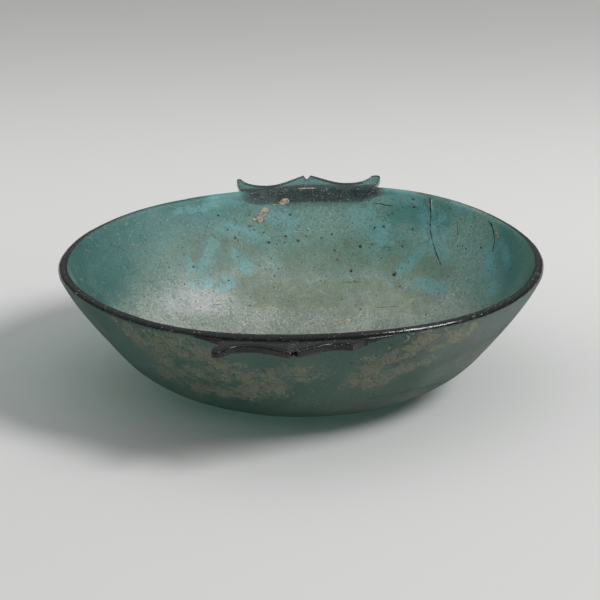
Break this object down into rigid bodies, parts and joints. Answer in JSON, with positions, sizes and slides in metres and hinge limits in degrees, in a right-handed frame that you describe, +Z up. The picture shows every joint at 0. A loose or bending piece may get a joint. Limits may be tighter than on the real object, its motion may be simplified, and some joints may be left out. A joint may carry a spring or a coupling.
{
  "type": "glass bowl",
  "caption": "Cast glass bowl with an open curved inside, rounded rim and ledge handles under the rim, for holding or serving food and drink.",
  "frame": {"origin": "middle of the flat foot that the bowl rests on", "axes": "+Z up out of the bowl's mouth, Y through the ledge handles with the whole handle at +Y and the chipped one at -Y"},
  "size_m": [0.1704, 0.1996, 0.0471],
  "materials": {
    "body_glass": "weathered blue-green cast glass, part frosted, with pits and tan deposit",
    "handle_glass": "darker, thicker blue-green cast glass, worn satin"
  },
  "bodies": {
    "root": {"bowl": "body_glass", "back_handle": "handle_glass", "front_handle": "handle_glass"}
  },
  "joints": []
}
